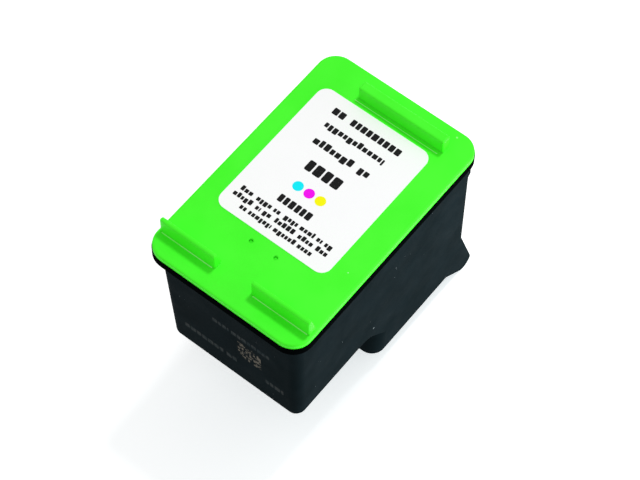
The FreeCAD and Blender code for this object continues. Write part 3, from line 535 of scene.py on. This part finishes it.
# Dust on the right and front walls, one grain of it larger: how many, where, and their radii.
DUST_DEPTHS, DUST_THICKNESS, DUST_SIDES = (3, 30), 0.01, 7
draw = random.Random(7)
dust = bmesh.new()
large_grain = disc(25.9, 29.6, radius=0.16, sides=9)
add_plate(dust, large_grain, on_right, 2 * DUST_THICKNESS)
for grains, wall, reach, radii in ((16, on_right, (6, 50), (0.02, 0.06)),
                                   (8, on_front, (-14, 14), (0.02, 0.05))):
    for _ in range(grains):
        grain = disc(draw.uniform(*reach), draw.uniform(*DUST_DEPTHS), draw.uniform(*radii),
                     DUST_SIDES)
        add_plate(dust, grain, wall, DUST_THICKNESS)
new_piece("dust", dust, dust_white)

# A black speck on the lid, and a tiny raised dot on it in the painted-highlight green that stands
# for a glint.
speck = bmesh.new()
add_plate(speck, disc(-5.69, 52.02, radius=0.13, sides=11), on_lid, thickness=0.01)
new_piece("lid_speck", speck, ink_black)
glint_dot = bmesh.new()
add_plate(glint_dot, disc(12.59, 53.01, radius=0.2, sides=13), on_lid, thickness=0.02)
new_piece("lid_glint_dot", glint_dot, lid_highlight_green)

# The gate mark under the housing's front part: a low step with a nub on it.
GATE_BACK = 8.5
gate = bmesh.new()
add_plate(gate, disc(0.0, GATE_BACK, radius=1.0, sides=40), under_front, thickness=0.06)
add_plate(gate, disc(0.0, GATE_BACK, radius=0.45, sides=24), under_front, thickness=0.14)
new_piece("gate_mark", gate, housing_black)

# Floors of the two small vent holes in the lid.
VENT_BACK, VENT_RADIUS, VENT_DEPTH, VENT_FLOOR = 12.7, 0.38, 0.42, 0.05


def in_vent(x, y, rise):
    """A place down in a vent hole."""
    return on_lid(x, y, rise - VENT_DEPTH)


vents = bmesh.new()
for x in (-3.04, 2.57):
    add_plate(vents, disc(x, VENT_BACK, VENT_RADIUS, sides=24), in_vent, VENT_FLOOR)
new_piece("vent_floors", vents, lid_green)

# Thin half-round beads at the feet of the lid's ribs, in the painted-highlight green that stands
# for the bright line there: ends, place and radius.
BEAD_STEPS, BEAD_END_PART = 5, 0.15
GRIP_FOOT, GRIP_BEAD_RADIUS = 4.16, 0.11
BEADS = [(-16.6, -4.9, GRIP_FOOT, GRIP_BEAD_RADIUS), (4.2, 16.5, GRIP_FOOT, GRIP_BEAD_RADIUS),
         (-7.1, 11.9, 47.95, 0.07)]


def add_bead(bm, left, right, y, radius):
    """A thin half-round bead across the lid, with tapered ends."""
    rings = []
    for x in (left, left + radius, right - radius, right):
        reach = radius * (BEAD_END_PART if x in (left, right) else 1.0)
        angles = [math.pi * k / BEAD_STEPS for k in range(BEAD_STEPS + 1)]
        rings.append([on_lid(x, y + reach * math.cos(angle), reach * math.sin(angle))
                      for angle in angles])
    extrude_through(bm, rings)


beads = bmesh.new()
for bead in BEADS:
    add_bead(beads, *bead)
new_piece("foot_bead_highlights", beads, lid_highlight_green)

# The flex circuit's outer face, in millimetres back from the lid's front edge and up from the
# nose's lowest point. The rear wall leans by LEAN, and the face lies INSET inside the wrap line.
REAR, LEAN, INSET = 53.6, 0.0459, 0.2
NOSE_Y, NOSE_Z, NOSE_RADIUS, NOSE_STEPS = 57.15, 2.0, 2.0, 14
CHIN_DEPTH, JOINT_HEIGHT, FIELD_TOP, UNDER_END = 36.6, 50.0, 6.5, 38.2


def make_wrap():
    """The face's run down the rear wall, round the nose and along the underside.

    Gives its points with their normals, and the length of the run up to each of them."""
    corner = Vector((REAR + LEAN * CHIN_DEPTH, JOINT_HEIGHT - CHIN_DEPTH))
    reach = Vector((NOSE_Y, NOSE_Z)) - corner
    slant = math.atan2(reach.y, reach.x) + math.asin(NOSE_RADIUS / reach.length)
    chin_normal = Vector((-math.sin(slant), math.cos(slant)))
    wall_normal = Vector((1.0, LEAN)).normalized()
    half = (wall_normal + chin_normal).normalized()
    inner_corner = corner - half * INSET / half.dot(wall_normal)
    top = Vector((REAR + LEAN * FIELD_TOP, JOINT_HEIGHT - FIELD_TOP)) - wall_normal * INSET
    run = [(top, wall_normal), (inner_corner, half)]
    upper = math.atan2(chin_normal.y, chin_normal.x)
    for k in range(NOSE_STEPS + 1):
        angle = upper + (-math.pi / 2 - upper) * k / NOSE_STEPS
        normal = Vector((math.cos(angle), math.sin(angle)))
        run.append((Vector((NOSE_Y, NOSE_Z)) + normal * (NOSE_RADIUS - INSET), normal))
    run.append((Vector((UNDER_END, INSET)), Vector((0.0, -1.0))))
    lengths = [0.0]
    for (here, _), (there, _) in zip(run, run[1:]):
        lengths.append(lengths[-1] + (there - here).length)
    return run, lengths


WRAP, WRAP_LENGTHS = make_wrap()


def on_flex(x, along, rise):
    """A place on the flex circuit's outer face, along its run from the top."""
    k = sum(length < along for length in WRAP_LENGTHS) - 1
    k = max(0, min(len(WRAP) - 2, k))
    part = (along - WRAP_LENGTHS[k]) / (WRAP_LENGTHS[k + 1] - WRAP_LENGTHS[k])
    place = WRAP[k][0].lerp(WRAP[k + 1][0], part)
    normal = WRAP[k][1].lerp(WRAP[k + 1][1], part).normalized()
    spot = place + normal * rise
    return Vector((x * MM, LID_FRONT + spot.x * MM, spot.y * MM))


def wall_run(depth):
    """How far along the run a depth under the joint is on the rear wall."""
    return (depth - FIELD_TOP) * math.sqrt(1 + LEAN ** 2)


def under_run(y):
    """How far along the run a place on the underside is."""
    return WRAP_LENGTHS[-1] - (y - UNDER_END)


TRACE_THICKNESS = 0.006
SAME_PLACE = 1e-6


def bent_line(points):
    """A trace's points, with one more wherever the run bends between them."""
    dense = []
    for here, there in zip(points, points[1:]):
        first, last = sorted((here[1], there[1]))
        cuts = sorted({first, last} | {length for length in WRAP_LENGTHS if first < length < last})
        if here[1] > there[1]:
            cuts.reverse()
        if len(cuts) == 1:
            dense += [Vector(here), Vector(there)]
            continue
        dense += [Vector(here).lerp(Vector(there), (cut - here[1]) / (there[1] - here[1]))
                  for cut in cuts]
    return [point for k, point in enumerate(dense)
            if k == 0 or (point - dense[k - 1]).length > SAME_PLACE]


def add_trace(bm, points):
    """A flat copper run through points across, along and wide, bent round the nose."""
    line = bent_line(points)
    rings = []
    for k, point in enumerate(line):
        before = (point - line[max(k - 1, 0)]).xy.normalized()
        after = (line[min(k + 1, len(line) - 1)] - point).xy.normalized()
        course = (before + after).normalized()
        side = Vector((-course.y, course.x)) * point.z / 2
        edges = ((1, 0.0), (1, TRACE_THICKNESS), (-1, TRACE_THICKNESS), (-1, 0.0))
        rings.append([on_flex(point.x + sign * side.x, point.y + sign * side.y, lift)
                      for sign, lift in edges])
    extrude_through(bm, rings)


# The contact pads on each half: columns from the middle outwards, and rows downwards.
COLUMNS, ROWS = 4, 6
FIRST_PAD, COLUMN_PITCH = 2.3, 2.35
TOP_PAD_DEPTH, ROW_PITCH, COLUMN_STAGGER = 9.6, 3.1, 0.45
# Each pad's trace leaves it by a lane between the columns, joins the neck and ends at a bead.
PAD_REACH, LANE_REACH, LANE_PITCH, LANE_BEND = 0.8, 0.85, 0.09, 0.3
LANE_END_DEPTH, NECK_DEPTH, NECK_END = 28.0, 34.0, 57.0
FIRST_NECK, NECK_PITCH = 0.55, 0.27
FIRST_AT_BEAD, BEAD_PITCH, FAN_END, BEAD_EDGE = 0.14, 0.118, 54.8, 54.5
LANE_WIDTH, NECK_WIDTH, BEAD_WIDTH = 0.05, 0.15, 0.06
# The outer few go on along the underside to the front bead.
LONG_RUNS, LONG_END, LONG_PITCH, LONG_INNER = 3, 38.54, 0.1, 2.6


def pad_trace(column, row):
    """The points of one pad's trace on the right half."""
    pad_x = FIRST_PAD + COLUMN_PITCH * column
    depth = TOP_PAD_DEPTH + (COLUMNS - 1 - column) * COLUMN_STAGGER + ROW_PITCH * row
    k = ROWS * column + row
    lane = pad_x - LANE_REACH - LANE_PITCH * (ROWS - row)
    neck = FIRST_NECK + NECK_PITCH * k
    points = [(pad_x - PAD_REACH, wall_run(depth), LANE_WIDTH),
              (lane, wall_run(depth + LANE_BEND), LANE_WIDTH),
              (lane, wall_run(LANE_END_DEPTH), LANE_WIDTH),
              (neck, wall_run(NECK_DEPTH), NECK_WIDTH),
              (neck, under_run(NECK_END), NECK_WIDTH)]
    if k < COLUMNS * ROWS - LONG_RUNS:
        at_bead = FIRST_AT_BEAD + BEAD_PITCH * k
        return points + [(at_bead, under_run(FAN_END), BEAD_WIDTH),
                         (at_bead, under_run(BEAD_EDGE), BEAD_WIDTH)]
    front = LONG_END - LONG_PITCH * (k - COLUMNS * ROWS + LONG_RUNS)
    return points + [(neck, under_run(front), BEAD_WIDTH),
                     (LONG_INNER, under_run(front), BEAD_WIDTH)]


# The broad run along each edge of the film.
EDGE_TRACE = [(11.75, wall_run(8.0), 0.5), (11.75, wall_run(29.8), 0.5),
              (7.2, wall_run(34.6), 0.3), (7.2, under_run(39.2), 0.3)]
traces = bmesh.new()
for sign in (-1, 1):
    half_traces = [pad_trace(column, row) for column in range(COLUMNS) for row in range(ROWS)]
    for points in half_traces + [EDGE_TRACE]:
        add_trace(traces, [(sign * x, along, wide) for x, along, wide in points])
new_piece("flex_traces", traces, trace_copper)

# Nozzles: two staggered rows along each of the three ink slots.
SLOT_PITCH, ROW_OFFSET = 1.45, 0.42
NOZZLES_IN_ROW, NOZZLE_PITCH, NOZZLE_STAGGER = 76, 0.125, 0.0625
NOZZLES_MIDDLE, NOZZLES_HALF = 46.0, 4.75
NOZZLE_RADIUS, NOZZLE_SIDES, NOZZLE_THICKNESS = 0.032, 7, 0.002


def on_nozzles(x, y, rise):
    """A place on the nozzle plate's outer face."""
    return Vector((x * MM, LID_FRONT + y * MM, NOZZLE_FACE - (NOZZLE_CLEARANCE + rise) * MM))


holes = bmesh.new()
for slot in (-1, 0, 1):
    for offset, stagger in ((-ROW_OFFSET, 0.0), (ROW_OFFSET, NOZZLE_STAGGER)):
        for k in range(NOZZLES_IN_ROW):
            y = NOZZLES_MIDDLE - NOZZLES_HALF + NOZZLE_PITCH * k + stagger
            hole = disc(slot * SLOT_PITCH + offset, y, NOZZLE_RADIUS, NOZZLE_SIDES)
            add_plate(holes, hole, on_nozzles, NOZZLE_THICKNESS)
new_piece("nozzles", holes, ink_black)

# Floor, light and camera.
FLOOR_REACH = 3.0
FLOOR_GREY = (0.86, 0.86, 0.86, 1)
FLOOR_GLOW, SKY_LIGHT, SKY_SEEN = 0.40, 0.62, 1.0
WHITE = (1, 1, 1, 1)


def seen_directly(tree):
    """1 where the camera, a gloss or a clear material looks at the background, otherwise 0."""
    path = tree.nodes.new("ShaderNodeLightPath")
    mirrored = math_node(tree, "MAXIMUM", path.outputs["Is Glossy Ray"],
                         path.outputs["Is Transmission Ray"])
    return math_node(tree, "MAXIMUM", path.outputs["Is Camera Ray"], mirrored)


def make_floor():
    """A plain white floor that keeps the cartridge's shadow."""
    material = bpy.data.materials.new("floor_white")
    material.use_nodes = True
    tree = material.node_tree
    tree.nodes.clear()
    output = tree.nodes.new("ShaderNodeOutputMaterial")
    diffuse = put(tree, "BsdfDiffuse", {"Color": FLOOR_GREY})
    glow = put(tree, "Emission", {"Color": WHITE, "Strength": FLOOR_GLOW})
    lit = put(tree, "AddShader", {0: diffuse.outputs[0], 1: glow.outputs[0]})
    mix = put(tree, "MixShader", {0: seen_directly(tree), 1: diffuse.outputs[0],
                                  2: lit.outputs[0]})
    tree.links.new(mix.outputs[0], output.inputs["Surface"])
    bm = bmesh.new()
    bmesh.ops.create_grid(bm, x_segments=1, y_segments=1, size=FLOOR_REACH)
    mesh = bpy.data.meshes.new("floor")
    bm.to_mesh(mesh)
    bm.free()
    mesh.materials.append(material)
    floor = bpy.data.objects.new("floor", mesh)
    bpy.context.scene.collection.objects.link(floor)


def make_sky():
    """A white background and an even light from all sides."""
    world = bpy.data.worlds.new("studio")
    bpy.context.scene.world = world
    world.use_nodes = True
    tree = world.node_tree
    tree.nodes.clear()
    light = put(tree, "Background", {"Color": WHITE, "Strength": SKY_LIGHT})
    seen = put(tree, "Background", {"Color": WHITE, "Strength": SKY_SEEN})
    mix = put(tree, "MixShader", {0: seen_directly(tree), 1: light.outputs[0],
                                  2: seen.outputs[0]})
    output = tree.nodes.new("ShaderNodeOutputWorld")
    tree.links.new(mix.outputs[0], output.inputs["Surface"])


def add_lamp(name, kind, towards, energy, **settings):
    """A lamp that shines along a direction."""
    lamp = bpy.data.lights.new(name, kind)
    lamp.energy = energy
    for setting, value in settings.items():
        setattr(lamp, setting, value)
    holder = bpy.data.objects.new(name, lamp)
    holder.rotation_euler = Vector(towards).to_track_quat("-Z", "Y").to_euler()
    bpy.context.scene.collection.objects.link(holder)
    return holder


make_floor()
make_sky()
add_lamp("key", "SUN", towards=(-0.03, -0.38, -0.925), energy=1.20, angle=math.radians(9))
side_lamp = add_lamp("side_lamp", "AREA", towards=(-1.0, -0.30, -0.02), energy=0.26,
                     size=0.09, color=(0.80, 0.96, 1.0))
side_lamp.location = (0.135, 0.055, 0.035)
side_lamp.visible_camera = False

CAMERA_PLACE = (0.13298, -0.1739, 0.4078)
CAMERA_RIGHT = (0.785, 0.6194, 0.0081)
CAMERA_UP = (-0.5384, 0.6757, 0.5035)
CAMERA_BACK = (0.3064, -0.3996, 0.864)
camera_data = bpy.data.cameras.new("camera")
camera_data.sensor_width = 36.0
camera_data.lens = 130.65
camera_data.shift_x = -0.001
camera_data.clip_end = 20.0
camera = bpy.data.objects.new("camera", camera_data)
placed = Matrix((CAMERA_RIGHT, CAMERA_UP, CAMERA_BACK)).transposed().to_4x4()
placed.translation = CAMERA_PLACE
camera.matrix_world = placed
bpy.context.scene.collection.objects.link(camera)
bpy.context.scene.camera = camera
bpy.context.scene.view_settings.view_transform = "Standard"
